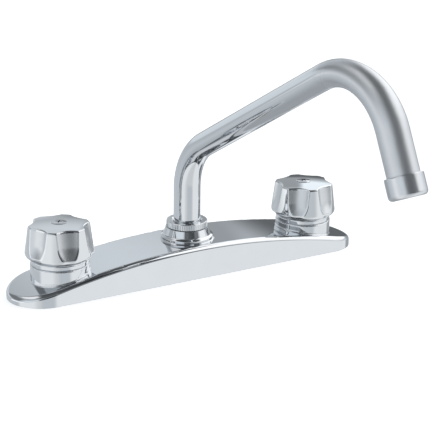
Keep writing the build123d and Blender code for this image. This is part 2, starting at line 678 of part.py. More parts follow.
    with BuildPart() as seat_screw:
        with BuildSketch(section):
            step(0, SEAT_SCREW_HEAD_RADIUS, pocket_top - SEAT_SCREW_HEAD, pocket_top)
            step(0, SEAT_SCREW_RADIUS, pocket_top, tip)
        revolve(axis=turning)
        with BuildSketch(Plane((x, 0, pocket_top - SEAT_SCREW_HEAD))):
            Rectangle(2 * SEAT_SCREW_HEAD_RADIUS + 1, SEAT_SCREW_SLOT)
        extrude(amount=SEAT_SCREW_HEAD / 2, mode=Mode.SUBTRACT)
    seat_screw.part.label = f"seat_screw_{side}"
    export_step(seat_screw.part, f"parts/seat_screw_{side}.step")

    # Spindle: threaded foot, shoulder, two seal grooves, clip groove and square end.
    with BuildPart() as spindle:
        drive_low = clip_low + CLIP + END_GAP
        with BuildSketch(section):
            step(0, SPINDLE_RADIUS, thread_end, drive_low)
            step(0, shoulder_radius, shoulder_low, shoulder_top)
            for height in spindle_seal_heights:
                groove(SPINDLE_RADIUS, height, SEAL_CORD)
            step(clip_groove, SPINDLE_RADIUS + 1, clip_low, clip_low + CLIP, mode=Mode.SUBTRACT)
            chamfer(corner(SPINDLE_RADIUS, thread_end), SPINDLE_CHAMFER)
        revolve(axis=turning)
        with BuildSketch(Plane((x, 0, drive_low))):
            Rectangle(DRIVE_FLATS, DRIVE_FLATS, rotation=lobe_angle)
        extrude(amount=spindle_top - drive_low)
        with BuildSketch(Plane((x, 0, spindle_top))):
            Circle(SCREW_RADIUS + THREAD_GAP)
        extrude(amount=screw_tip - SCREW_SOCKET - spindle_top, mode=Mode.SUBTRACT)
    spindle.part.label = f"spindle_{side}"
    export_step(spindle.part, f"parts/spindle_{side}.step")

    with BuildPart() as spindle_seals:
        with BuildSketch(section):
            for height in spindle_seal_heights:
                with Locations((SPINDLE_RADIUS + RUNNING_GAP / 2 - SEAL_CORD / 2, height)):
                    Circle(SEAL_CORD / 2)
        revolve(axis=turning)
    spindle_seals.part.label = f"spindle_seals_{side}"
    export_step(spindle_seals.part, f"parts/spindle_seals_{side}.step")

    # Clip: an open ring that sits in the spindle's groove over the bonnet's neck.
    with BuildPart() as clip:
        with BuildSketch(Plane((x, 0, clip_low))):
            Circle(clip_radius)
            Circle(clip_groove + THREAD_GAP, mode=Mode.SUBTRACT)
            with Locations((clip_radius / 2, 0)):
                Rectangle(clip_radius + 1, 2 * clip_groove - 1, mode=Mode.SUBTRACT)
        extrude(amount=CLIP)
    clip.part.label = f"spindle_clip_{side}"
    export_step(clip.part, f"parts/spindle_clip_{side}.step")

    # Knob: the flutes are cut by rings that swing down the flank and run out of it,
    # and six ribs stiffen the hollow round the hub.
    with BuildPart() as knob:
        with BuildSketch(section):
            with BuildLine():
                half_chord = KNOB_TOP_RADIUS / 2
                crown = ThreePointArc(
                    (0, knob_top),
                    (half_chord, knob_top - KNOB_DOME / 4),
                    (KNOB_TOP_RADIUS, knob_top - KNOB_DOME),
                )
                Polyline(crown @ 1, (KNOB_RADIUS, knob_low), (0, knob_low), crown @ 0)
            make_face()
            fillet(corner(KNOB_RADIUS, knob_low), KNOB_RIM)
        revolve(axis=turning)
        for lobe in range(LOBES):
            turn = radians(lobe_angle + 360 / LOBES * (lobe + 0.5))
            outward = Vector(cos(turn), sin(turn), 0)
            across = Vector(-sin(turn), cos(turn), 0)
            pivot = Vector(x, 0, knob_top) + outward * (FLUTE_DEPTH_RADIUS + FLUTE_SWEEP)
            with BuildSketch(Plane(origin=pivot, x_dir=outward, z_dir=(0, 0, 1))):
                with Locations((FLUTE_RADIUS - FLUTE_SWEEP, 0)):
                    Circle(FLUTE_RADIUS)
            revolve(axis=Axis(pivot, across), mode=Mode.SUBTRACT)
        rims_of_flutes = knob.edges().filter_by(
            lambda edge: edge.geom_type != GeomType.CIRCLE and edge.length > KNOB_HEIGHT
        )
        fillet(rims_of_flutes, LOBE_ROUND)
        fillet(knob.faces().sort_by(Axis.Z)[-1].edges(), KNOB_ROUND)
        with BuildSketch(section):
            with BuildLine():
                cavity = FLUTE_DEPTH_RADIUS - KNOB_WALL
                Polyline(
                    (0, knob_low - 1),
                    (KNOB_RADIUS - KNOB_RIM - KNOB_WALL, knob_low - 1),
                    (cavity, knob_low + KNOB_HEIGHT / 2),
                    (cavity, knob_roof),
                    (0, knob_roof),
                    close=True,
                )
            make_face()
        revolve(axis=turning, mode=Mode.SUBTRACT)
        with BuildSketch(Plane((x, 0, hub_low))):
            Circle(HUB_RADIUS)
            socket = DRIVE_FLATS + 2 * THREAD_GAP
            Rectangle(socket, socket, rotation=lobe_angle, mode=Mode.SUBTRACT)
        extrude(amount=knob_roof - hub_low)
        with BuildSketch(Plane((x, 0, knob_roof))):
            with PolarLocations((HUB_RADIUS + cavity) / 2, LOBES, start_angle=lobe_angle):
                Rectangle(cavity - HUB_RADIUS + KNOB_RIB, KNOB_RIB)
        extrude(amount=-KNOB_RIB_DEPTH)
        with BuildSketch(section):
            step(0, SCREW_RADIUS + LOOSE_GAP, knob_roof - 1, knob_top)
            step(0, SCREW_HEAD_RADIUS + LOOSE_GAP, screw_seat, knob_top + 1)
        revolve(axis=turning, mode=Mode.SUBTRACT)
    knob.part.label = f"knob_{side}"
    export_step(knob.part, f"parts/knob_{side}.step")

    # Handle screw: a low domed head with a cross recess, on the crown of the knob.
    with BuildPart() as handle_screw:
        head_top = screw_seat + SCREW_HEAD
        with BuildSketch(section):
            with BuildLine():
                dome = ThreePointArc(
                    (SCREW_HEAD_RADIUS, screw_seat + SCREW_HEAD / 3),
                    (SCREW_HEAD_RADIUS / 2, screw_seat + SCREW_HEAD * 5 / 6),
                    (0, head_top),
                )
                Polyline(dome @ 1, (0, screw_seat), (SCREW_HEAD_RADIUS, screw_seat), dome @ 0)
            make_face()
            step(0, SCREW_RADIUS, screw_tip, screw_seat)
        revolve(axis=turning)
        with BuildSketch(Plane((x, 0, head_top))):
            with PolarLocations(0, 2, start_angle=lobe_angle, angular_range=180):
                Rectangle(CROSS_LENGTH, CROSS_WIDTH)
        extrude(amount=-CROSS_DEPTH, mode=Mode.SUBTRACT)
    handle_screw.part.label = f"handle_screw_{side}"
    export_step(handle_screw.part, f"parts/handle_screw_{side}.step")
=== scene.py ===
import math

import bmesh
import bpy
from mathutils import Matrix, Vector


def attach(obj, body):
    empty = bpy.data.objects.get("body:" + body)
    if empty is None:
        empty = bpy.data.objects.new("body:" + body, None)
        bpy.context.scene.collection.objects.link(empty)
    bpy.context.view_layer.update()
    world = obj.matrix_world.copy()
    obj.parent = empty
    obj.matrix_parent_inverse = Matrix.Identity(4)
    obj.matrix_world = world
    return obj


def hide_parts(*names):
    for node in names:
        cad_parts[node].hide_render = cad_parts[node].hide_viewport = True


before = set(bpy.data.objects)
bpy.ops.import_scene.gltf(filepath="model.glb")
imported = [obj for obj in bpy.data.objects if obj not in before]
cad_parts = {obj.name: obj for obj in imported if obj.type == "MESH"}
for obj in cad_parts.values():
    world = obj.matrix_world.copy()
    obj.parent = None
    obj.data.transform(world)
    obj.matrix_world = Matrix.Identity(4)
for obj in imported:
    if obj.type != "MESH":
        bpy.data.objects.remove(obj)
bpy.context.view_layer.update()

# ---------------------------------------------------------------------------
# Cover. A long hollow casting, arched from end to end, buffed and chrome
# plated all over. It sits on the ledge and hides both castings.
COVER_TINT = (0.70, 0.72, 0.745)
COVER_GLOSS = 0.02
COVER_WAVE = 1.5e-6
COVER_FOOT = 0.0020  # the soft corner where a boss rises out of the arch
COVER_HALF = 0.0252  # half the cover's width, and the radius of its ends
COVER_STRAIGHT = 0.1148  # from the middle to where an end begins
COVER_EDGE = 0.0034  # radius of the upper edge
ARCH_TOP = 0.024
ARCH_RISE = 0.0186  # from the tips to the middle
ARCH_RADIUS = ((COVER_STRAIGHT + COVER_HALF) ** 2 + ARCH_RISE**2) / (2 * ARCH_RISE)
WIPE_PATCHES = 55.0  # to the metre, as are the other patches and grains here
WHEEL_PATCHES = 70.0
POLISH_LINES = 900.0
POLISH_DEPTH = 4e-7
WIPED_DULL = 0.955
SLOPE_DOUBTED = 0.93  # how nearly the mesh has to face the same way as the true slope
SLOPE_TRUSTED = 0.985
EDGE_TRUST = 0.4


def wire(tree, source, target):
    """Joins one socket to another, or sets it to a plain value."""
    if hasattr(source, "is_linked"):
        tree.links.new(source, target)
    else:
        target.default_value = source


def start_finish(name, metallic=1.0):
    """A new material, its nodes, its shader, and the place on the piece."""
    finish = bpy.data.materials.new(name)
    finish.use_nodes = True
    tree = finish.node_tree
    shader = tree.nodes["Principled BSDF"]
    shader.inputs["Metallic"].default_value = metallic
    place = tree.nodes.new("ShaderNodeTexCoord").outputs["Object"]
    return finish, tree, shader, place


def clouds(tree, place, scale, detail=4.0, twist=0.0):
    """An uneven pattern that is fixed to the piece, at that many patches to the metre."""
    patches = tree.nodes.new("ShaderNodeTexNoise")
    patches.inputs["Scale"].default_value = scale
    patches.inputs["Detail"].default_value = detail
    patches.inputs["Distortion"].default_value = twist
    wire(tree, place, patches.inputs["Vector"])
    return patches.outputs["Fac"]


def spread(tree, source, low, high, first=0.35, last=0.7, soft=False):
    """Turns a pattern that runs from first to last into a value from low to high."""
    run = tree.nodes.new("ShaderNodeMapRange")
    if soft:
        run.interpolation_type = "SMOOTHSTEP"
    run.inputs["From Min"].default_value = first
    run.inputs["From Max"].default_value = last
    run.inputs["To Min"].default_value = low
    run.inputs["To Max"].default_value = high
    wire(tree, source, run.inputs["Value"])
    return run.outputs["Result"]


def relief(tree, pattern, height, under=None, strength=1.0):
    """Raises a pattern off the surface by that height in metres, over any relief below it."""
    bump = tree.nodes.new("ShaderNodeBump")
    bump.inputs["Strength"].default_value = strength
    bump.inputs["Distance"].default_value = height
    wire(tree, pattern, bump.inputs["Height"])
    if under is not None:
        wire(tree, under, bump.inputs["Normal"])
    return bump.outputs["Normal"]


def blend(tree, pattern, first, second):
    """Mixes two colours through a pattern."""
    mix = tree.nodes.new("ShaderNodeMix")
    mix.data_type = "RGBA"
    mix.inputs["A"].default_value = (*first, 1.0)
    mix.inputs["B"].default_value = (*second, 1.0)
    wire(tree, pattern, mix.inputs["Factor"])
    return mix.outputs["Result"]


def darker(tone, share):
    """A colour brought down to a share of its brightness."""
    return tuple(share * c for c in tone)


def chrome(name, tint, gloss, wipe=0.03, wave=6e-6, under=None):
    """Plated metal: faint wipe marks, the slow wave that a buffing wheel leaves, and fine lines."""
    finish, tree, plate, place = start_finish(name)
    buffed = under(tree, place) if under else None
    wiped = clouds(tree, place, WIPE_PATCHES, 6.0, 0.6)
    wire(tree, spread(tree, wiped, gloss, gloss + wipe, 0.4, 0.8), plate.inputs["Roughness"])
    wire(tree, blend(tree, wiped, tint, darker(tint, WIPED_DULL)), plate.inputs["Base Color"])
    waved = relief(tree, clouds(tree, place, WHEEL_PATCHES, 1.0), wave, buffed)
    lined = relief(tree, clouds(tree, place, POLISH_LINES, 2.0), POLISH_DEPTH, waved)
    wire(tree, lined, plate.inputs["Normal"])
    return finish


def dress(finish, *names):
    """The CAD piece keeps its shape and takes this finish."""
    for name in names:
        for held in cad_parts[name].material_slots:
            held.material = finish


def reckon(tree, how, first, second):
    """One step of plain arithmetic between sockets or values."""
    step = tree.nodes.new("ShaderNodeMath")
    step.operation = how
    wire(tree, first, step.inputs[0])
    wire(tree, second, step.inputs[1])
    return step.outputs["Value"]


def reckon_vector(tree, how, first, second=None):
    """One step of arithmetic between vectors."""
    step = tree.nodes.new("ShaderNodeVectorMath")
    step.operation = how
    wire(tree, first, step.inputs[0])
    if second is not None:
        wire(tree, second, step.inputs["Scale" if how == "SCALE" else 1])
    return step.outputs["Value" if how in ("LENGTH", "DOT_PRODUCT") else "Vector"]


def parts_of(tree, vector):
    """The X, Y and Z of a vector."""
    split = tree.nodes.new("ShaderNodeSeparateXYZ")
    wire(tree, vector, split.inputs["Vector"])
    return split.outputs["X"], split.outputs["Y"], split.outputs["Z"]


def joined(tree, **parts):
    """A vector from the parts that are given."""
    pack = tree.nodes.new("ShaderNodeCombineXYZ")
    for axis, part in parts.items():
        wire(tree, part, pack.inputs[axis])
    return pack.outputs["Vector"]


def buffed_arch(tree, place):
    """The true slope of the arch and its round edge, with a soft foot under each boss."""
    corner = tree.nodes.new("ShaderNodeBevel")
    corner.samples = 12
    corner.inputs["Radius"].default_value = COVER_FOOT
    x, y, z = parts_of(tree, place)
    middle = reckon(tree, "MAXIMUM", x, -COVER_STRAIGHT)
    middle = reckon(tree, "MINIMUM", middle, COVER_STRAIGHT)
    away = joined(tree, X=reckon(tree, "SUBTRACT", x, middle), Y=y)
    from_centre = reckon_vector(tree, "ADD", joined(tree, X=x, Z=z), (0, 0, ARCH_RADIUS - ARCH_TOP))
    slopes, shares = [], []
    for ray, reach in ((away, COVER_HALF), (from_centre, ARCH_RADIUS)):
        length = reckon_vector(tree, "LENGTH", ray)
        shares.append(spread(tree, length, 0.0, 1.0, reach - COVER_EDGE, reach))
        slopes.append(reckon_vector(tree, "SCALE", reckon_vector(tree, "NORMALIZE", ray), shares[-1]))
    slope = reckon_vector(tree, "NORMALIZE", reckon_vector(tree, "ADD", *slopes))
    # the true slope holds where the mesh agrees with it, and more readily out on the edge
    alike = reckon_vector(tree, "DOT_PRODUCT", corner.outputs["Normal"], slope)
    on_edge = spread(tree, shares[0], 0.0, EDGE_TRUST, 0.0, 0.08)
    alike = reckon(tree, "ADD", alike, on_edge)
    meet = tree.nodes.new("ShaderNodeMix")
    meet.data_type = "VECTOR"
    trust = spread(tree, alike, 0.0, 1.0, SLOPE_DOUBTED, SLOPE_TRUSTED)
    wire(tree, trust, meet.inputs["Factor"])
    wire(tree, corner.outputs["Normal"], meet.inputs["A"])
    wire(tree, slope, meet.inputs["B"])
    return reckon_vector(tree, "NORMALIZE", meet.outputs["Result"])


cover_plate = chrome("cover_plate", COVER_TINT, COVER_GLOSS, wave=COVER_WAVE, under=buffed_arch)
dress(cover_plate, "base_cover")

# ---------------------------------------------------------------------------
# Base gasket. A flat pad of closed foam rubber inside the cover's rim, which
# keeps water out of the holes in the ledge.
GASKET_TONE = (0.045, 0.046, 0.05)
GASKET_PORE = 900.0
PORE_DEPTH = 1.2e-4
MOULD_PATCHES = 140.0


def moulded(name, tone, gloss, grain, depth, cast=0.75):
    """Rubber or plastic: uneven tone, a matt or waxy skin, and the grain of its mould."""
    finish, tree, skin, place = start_finish(name, metallic=0.0)
    patchy = clouds(tree, place, MOULD_PATCHES, 5.0)
    wire(tree, blend(tree, patchy, tone, darker(tone, cast)), skin.inputs["Base Color"])
    wire(tree, spread(tree, patchy, gloss, gloss + 0.18), skin.inputs["Roughness"])
    wire(tree, relief(tree, clouds(tree, place, grain, 3.0), depth), skin.inputs["Normal"])
    return finish


gasket_foam = moulded("gasket_foam", GASKET_TONE, gloss=0.7, grain=GASKET_PORE, depth=PORE_DEPTH)
dress(gasket_foam, "base_gasket")

# ---------------------------------------------------------------------------
# Valve bodies and the spout post. Sand-cast brass, left rough where it doesn't
# show, with the long shanks below the ledge cut with a 14 to the inch thread.
CAST_LIGHT = (0.72, 0.52, 0.27)
CAST_DARK = (0.46, 0.30, 0.14)
CAST_PATCHES = 160.0
SAND_GRAIN = 1400.0
SAND_DEPTH = 6e-5
THREAD_PITCH = 0.001814
THREAD_DEPTH = 0.0005
THREAD_TOP = -0.0005
THREAD_FOOT = -0.0515
THREAD_RUN_OUT = 0.0004


def cast_brass(name, threaded=False):
    """Raw brass: mottled colour, sandy skin, and turned threads where they are asked for."""
    finish, tree, metal, place = start_finish(name)
    mottle = clouds(tree, place, CAST_PATCHES, 6.0, 0.4)
    tarnish = spread(tree, mottle, 0.0, 1.0)
    wire(tree, blend(tree, tarnish, CAST_LIGHT, CAST_DARK), metal.inputs["Base Color"])
    wire(tree, spread(tree, mottle, 0.28, 0.5), metal.inputs["Roughness"])
    skin = relief(tree, clouds(tree, place, SAND_GRAIN, 2.0), SAND_DEPTH, strength=0.5)
    if threaded:
        height = parts_of(tree, place)[2]
        turns = reckon(tree, "PINGPONG", height, THREAD_PITCH / 2)
        ridge = spread(tree, turns, 0.0, 1.0, 0.0, THREAD_PITCH / 2)
        below = spread(tree, height, 0.0, 1.0, THREAD_TOP + THREAD_RUN_OUT, THREAD_TOP)
        above = spread(tree, height, 0.0, 1.0, THREAD_FOOT, THREAD_FOOT + THREAD_RUN_OUT)
        reach = reckon(tree, "MULTIPLY", below, above)
        skin = relief(tree, reckon(tree, "MULTIPLY", ridge, reach), THREAD_DEPTH, skin)
    wire(tree, skin, metal.inputs["Normal"])
    return finish


dress(cast_brass("body_brass", threaded=True), "valve_body_hot", "valve_body_cold")
dress(cast_brass("post_brass"), "spout_post")

# ---------------------------------------------------------------------------
# Deck washers and lock nuts. A pressed steel washer and a die-cast zinc nut
# draw each shank down from under the ledge.
STEEL = (0.56, 0.57, 0.58)
STEEL_GRAIN = 2200.0
ZINC = (0.50, 0.51, 0.52)
ZINC_GRAIN = 1300.0
STAIN_PATCHES = 120.0


def plain_metal(name, tone, gloss, grain, depth, stain=0.8):
    """Bright or dull bare metal, with stains and the marks of the tool or die that shaped it."""
    finish, tree, metal, place = start_finish(name)
    stains = clouds(tree, place, STAIN_PATCHES, 6.0, 0.8)
    wire(tree, blend(tree, stains, tone, darker(tone, stain)), metal.inputs["Base Color"])
    wire(tree, spread(tree, stains, gloss, gloss + 0.15), metal.inputs["Roughness"])
    wire(tree, relief(tree, clouds(tree, place, grain, 2.0), depth), metal.inputs["Normal"])
    return finish


washer_steel = plain_metal("washer_steel", STEEL, gloss=0.25, grain=STEEL_GRAIN, depth=1.5e-5)
dress(washer_steel, "deck_washers")
dress(plain_metal("nut_zinc", ZINC, gloss=0.34, grain=ZINC_GRAIN, depth=4e-5), "lock_nuts")

# ---------------------------------------------------------------------------
# Cross tubes. Thin drawn copper, brazed into the castings, dark from the torch
# in patches.
COPPER = (0.78, 0.40, 0.26)
DRAWN_GRAIN = 700.0
TORCH_STAIN = 0.45
tube_copper = plain_metal("tube_copper", COPPER, 0.22, DRAWN_GRAIN, depth=2e-5, stain=TORCH_STAIN)
dress(tube_copper, "cross_tube_hot", "cross_tube_cold")

# ---------------------------------------------------------------------------
# Seats and headworks. Turned brass: the seat screws into the floor of the
# chamber, and the bushing above it carries the stem and guides the plunger.
TURNED = (0.80, 0.60, 0.30)
TURNED_STAIN = 0.82
TURNED_PATCHES = 200.0
TOOL_RINGS = 260.0
TOOL_DEPTH = 1.2e-5
HALF_CENTRES = 0.1016


def turned_brass(name, gloss, x):
    """Lathe-cut brass: fine rings round the piece's own axis at x, over faint stains."""
    finish, tree, metal, place = start_finish(name)
    stains = clouds(tree, place, TURNED_PATCHES, 5.0, 0.5)
    stained = blend(tree, stains, TURNED, darker(TURNED, TURNED_STAIN))
    wire(tree, stained, metal.inputs["Base Color"])
    wire(tree, spread(tree, stains, gloss, gloss + 0.12), metal.inputs["Roughness"])
    centre = tree.nodes.new("ShaderNodeMapping")
    centre.inputs["Location"].default_value = (-x, 0, 0)
    wire(tree, place, centre.inputs["Vector"])
    rings = tree.nodes.new("ShaderNodeTexWave")
    rings.wave_type = "RINGS"
    rings.rings_direction = "SPHERICAL"
    rings.inputs["Scale"].default_value = TOOL_RINGS
    rings.inputs["Distortion"].default_value = 0.3
    wire(tree, centre.outputs["Vector"], rings.inputs["Vector"])
    wire(tree, relief(tree, rings.outputs["Fac"], TOOL_DEPTH), metal.inputs["Normal"])
    return finish


for side, x in (("hot", -HALF_CENTRES), ("cold", HALF_CENTRES)):
    lathe = turned_brass(f"turned_brass_{side}", 0.16, x)
    dress(lathe, f"valve_seat_{side}", f"bonnet_{side}", f"spindle_{side}", f"seat_screw_{side}")

# ---------------------------------------------------------------------------
# Seals, washers and clips. Black rubber rings on the stem, a harder washer on
# the seat, a red fibre ring under the bushing, and a spring-steel clip.
RUBBER = (0.022, 0.022, 0.024)
FIBRE = (0.32, 0.06, 0.045)
ACETAL = (0.78, 0.78, 0.75)
SPRING_STEEL = (0.48, 0.49, 0.51)
seal_rubber = moulded("seal_rubber", RUBBER, gloss=0.38, grain=2500.0, depth=1e-5)
dress(seal_rubber, "spindle_seals_hot", "spindle_seals_cold", "spout_seals")
washer_rubber = moulded("washer_rubber", RUBBER, gloss=0.5, grain=1500.0, depth=3e-5)
dress(washer_rubber, "seat_washer_hot", "seat_washer_cold")
gasket_fibre = moulded("gasket_fibre", FIBRE, gloss=0.6, grain=1800.0, depth=5e-5)
dress(gasket_fibre, "bonnet_gasket_hot", "bonnet_gasket_cold")
plunger_acetal = moulded("plunger_acetal", ACETAL, gloss=0.3, grain=1200.0, depth=1e-5, cast=0.93)
dress(plunger_acetal, "plunger_hot", "plunger_cold")
clip_steel = plain_metal("clip_steel", SPRING_STEEL, gloss=0.22, grain=3000.0, depth=6e-6)
dress(clip_steel, "spindle_clip_hot", "spindle_clip_cold")

# ---------------------------------------------------------------------------
# Escutcheon rings. Turned brass rings, chrome plated, which clamp the cover
# down on the necks of the valve bodies.
PLATED_GLOSS = 0.03
dress(chrome("ring_plate", COVER_TINT, PLATED_GLOSS), "escutcheon_hot", "escutcheon_cold")

# ---------------------------------------------------------------------------
# Knobs. Hollow six-lobed castings, chrome plated. Each flute is milled nearly
# straight down and closes in a bowl above the rim. The buffing wheel rides on
# the lobes and leaves the flutes satin.
MM = 0.001
KNOB_CENTRES = 101.6
KNOB_LOW = 27.19
KNOB_TOP = 51.39
CROWN_RISE = 1.2
CROWN_RADIUS = 21.4
RIM_RADIUS = 24.4
FLANK_LEAN = math.atan2(RIM_RADIUS - CROWN_RADIUS, KNOB_TOP - KNOB_LOW)
CROWN_ROUND = 1.1
LOW_ROUND = 3.0
FLUTE_TOOL = 17.0
FLUTE_CROWN = 18.1  # from the knob's axis to the bottom of a flute, at the crown
FLUTE_LEAN = math.tan(math.radians(10.4))
FLUTE_FOOT = 28.4
FLUTE_BOWL = 11.0  # height over which a flute closes
BOWL_CURVE = 1.9
FLUTE_SOFT = 0.7  # rounding between flute and lobe
LOBES = 6
RECESS_RADIUS = 5.5
RECESS_DEPTH = 0.25
SCREW_HOLE = 1.9
KNOB_ROOF = KNOB_TOP - 2.4
CAVITY = 15.7
CAVITY_MOUTH = 19.0
HUB_LOW = 38.54
HUB_RADIUS = 7.6
SOCKET = 5.7
RIB = 1.4
RIB_DEPTH = 6.5
ROOF_LAP = 0.3  # hub and ribs run this far into the roof
WALL_LAP = 0.4  # and ribs this far into hub and wall
ROUND_STEPS = 288
CROWN_STEPS = 8
FLANK_STEPS = 44
RIM_STEPS = 10
HUB_STEPS = 12
SHARP_FROM = math.radians(38)
HOT_LOBE = 51.0  # degrees that each knob is turned on its stem, as photographed
COLD_LOBE = 16.0
KNOB_TINT = (0.71, 0.73, 0.75)
KNOB_WAVE = 1.2e-5
FLUTE_SATIN = 0.28
SATIN_DEPTH = 0.4  # the wheel misses whatever lies deeper than this


def lobe_radius(z):
    """Radius of the leaning flank on a lobe."""
    return RIM_RADIUS - (z - KNOB_LOW) * math.tan(FLANK_LEAN)


def flank(turn, z):
    """Radius of the knob's side at a turn from the middle of a lobe, and at a height."""
    lobe = lobe_radius(z)
    line = FLUTE_CROWN + (KNOB_TOP - CROWN_RISE - z) * FLUTE_LEAN
    rise = min(max((z - FLUTE_FOOT) / FLUTE_BOWL, 0.0), 1.0)
    deep = (lobe - line) * (1 - (1 - rise) ** BOWL_CURVE)
    if deep <= 0.0:
        return lobe
    sector = 2 * math.pi / LOBES
    off = (turn % sector) - sector / 2
    middle = lobe - deep + FLUTE_TOOL
    inside = FLUTE_TOOL**2 - (middle * math.sin(off)) ** 2
    if inside <= 0.0:
        return lobe
    flute = middle * math.cos(off) - math.sqrt(inside)
    near = min(max(0.5 + 0.5 * (flute - lobe) / FLUTE_SOFT, 0.0), 1.0)
    return flute * (1 - near) + lobe * near - FLUTE_SOFT * near * (1 - near)


def missed(out, z):
    """How far the buffing wheel misses a spot of the knob, from 0 on a lobe to 1 in a flute."""
    in_cavity = out < CAVITY + 1.0
    if in_cavity or not KNOB_LOW + LOW_ROUND < z < KNOB_TOP - CROWN_RISE - CROWN_ROUND:
        return 0.0
    return min(max((lobe_radius(z) - out) / SATIN_DEPTH, 0.0), 1.0)


def crown(radius):
    """Height of the domed crown at that radius."""
    return KNOB_TOP - CROWN_RISE * (radius / CROWN_RADIUS) ** 2


def knob_side_line(turn):
    """From the screw's hole out over the crown, down the flank, round the rim and up inside."""
    line = [(SCREW_HOLE, KNOB_ROOF), (SCREW_HOLE, KNOB_TOP - RECESS_DEPTH)]
    line += [(RECESS_RADIUS, KNOB_TOP - RECESS_DEPTH), (RECESS_RADIUS, crown(RECESS_RADIUS))]
    middle = CROWN_RADIUS - CROWN_ROUND
    for _ in range(3):
        # each pass brings the crown's rounding closer to this stretch of the flank
        high = crown(middle) - CROWN_ROUND
        join = high + CROWN_ROUND * math.sin(FLANK_LEAN)
        middle = flank(turn, join) - CROWN_ROUND * math.cos(FLANK_LEAN)
    for n in range(1, CROWN_STEPS + 1):
        out = RECESS_RADIUS + (middle - RECESS_RADIUS) * n / CROWN_STEPS
        line.append((out, crown(out)))
    high = crown(middle) - CROWN_ROUND
    for n in range(1, CROWN_STEPS + 1):
        swing = math.pi / 2 + (FLANK_LEAN - math.pi / 2) * n / CROWN_STEPS
        line.append((middle + CROWN_ROUND * math.cos(swing), high + CROWN_ROUND * math.sin(swing)))
    low_join = KNOB_LOW + LOW_ROUND * (1 + math.sin(FLANK_LEAN))
    for n in range(1, FLANK_STEPS + 1):
        z = join + (low_join - join) * n / FLANK_STEPS
        line.append((flank(turn, z), z))
    low_middle = flank(turn, low_join) - LOW_ROUND * math.cos(FLANK_LEAN)
    for n in range(1, RIM_STEPS + 1):
        swing = FLANK_LEAN - (FLANK_LEAN + math.pi / 2) * n / RIM_STEPS
        out = low_middle + LOW_ROUND * math.cos(swing)
        line.append((out, KNOB_LOW + LOW_ROUND + LOW_ROUND * math.sin(swing)))
    line += [(CAVITY_MOUTH, KNOB_LOW), (CAVITY, (KNOB_LOW + KNOB_TOP) / 2), (CAVITY, KNOB_ROOF)]
    return line


def block(shape, corners, low, high):
    """An upright solid on those corners, from low to high."""
    foot = [shape.verts.new((x * MM, y * MM, low * MM)) for x, y in corners]
    head = [shape.verts.new((x * MM, y * MM, high * MM)) for x, y in corners]
    shape.faces.new(foot[::-1])
    shape.faces.new(head)
    for n in range(len(corners)):
        m = (n + 1) % len(corners)
        shape.faces.new((foot[n], foot[m], head[m], head[n]))


def knob_shell(shape, x, first):
    """The fluted shell, drawn column by column round the knob's axis."""
    satin = shape.verts.layers.float.new("satin")
    columns = []
    for step in range(ROUND_STEPS):
        turn = 2 * math.pi * step / ROUND_STEPS
        across, along = math.cos(first + turn), math.sin(first + turn)
        columns.append([])
        for out, z in knob_side_line(turn):
            spot = shape.verts.new(((x + out * across) * MM, out * along * MM, z * MM))
            spot[satin] = missed(out, z)
            columns[-1].append(spot)
    for step in range(ROUND_STEPS):
        here, after = columns[step], columns[(step + 1) % ROUND_STEPS]
        for n in range(len(here)):
            m = (n + 1) % len(here)
            shape.faces.new((here[n], here[m], after[m], after[n]))


def knob_hub(shape, x, first):
    """The hub in four quarters, which leave the stem's square socket open between them."""
    for n in range(4):
        quarter = first + math.radians(90 * n)
        corners = []
        for k in range(HUB_STEPS + 1):
            swing = quarter + math.radians(-45 + 90 * k / HUB_STEPS)
            corners.append((x + HUB_RADIUS * math.cos(swing), HUB_RADIUS * math.sin(swing)))
        for swing in (quarter + math.radians(45), quarter - math.radians(45)):
            reach = SOCKET / math.sqrt(2)
            corners.append((x + reach * math.cos(swing), reach * math.sin(swing)))
        block(shape, corners, HUB_LOW, KNOB_ROOF + ROOF_LAP)


def knob_ribs(shape, x, first):
    """Six ribs under the roof, from the hub out to the wall behind each lobe."""
    inner, outer = HUB_RADIUS - WALL_LAP, CAVITY + WALL_LAP
    for n in range(LOBES):
        swing = first + math.radians(360 / LOBES * n)
        out = Vector((math.cos(swing), math.sin(swing)))
        beside = Vector((-math.sin(swing), math.cos(swing)))
        corners = []
        for reach, half in ((inner, -1), (outer, -1), (outer, 1), (inner, 1)):
            spot = out * reach + beside * (half * RIB / 2)
            corners.append((x + spot.x, spot.y))
        block(shape, corners, KNOB_ROOF - RIB_DEPTH, KNOB_ROOF + ROOF_LAP)


def knob_mesh(name, x, lobe_angle):
    """The whole knob: shell, hub with its square socket, and six ribs."""
    shape = bmesh.new()
    first = math.radians(lobe_angle)
    for build in (knob_shell, knob_hub, knob_ribs):
        build(shape, x, first)
    bmesh.ops.recalc_face_normals(shape, faces=shape.faces)
    mesh = bpy.data.meshes.new(name)
    shape.to_mesh(mesh)
    shape.free()
    mesh.shade_smooth()
    mesh.set_sharp_from_angle(angle=SHARP_FROM)
    knob = bpy.data.objects.new(name, mesh)
    bpy.context.collection.objects.link(knob)
    return knob


def dull_by(finish, extra):
    """Adds to the roughness that a finish has, under the same wipe marks."""
    tree = finish.node_tree
    rough = tree.nodes["Principled BSDF"].inputs["Roughness"]
    wire(tree, reckon(tree, "ADD", rough.links[0].from_socket, extra), rough)


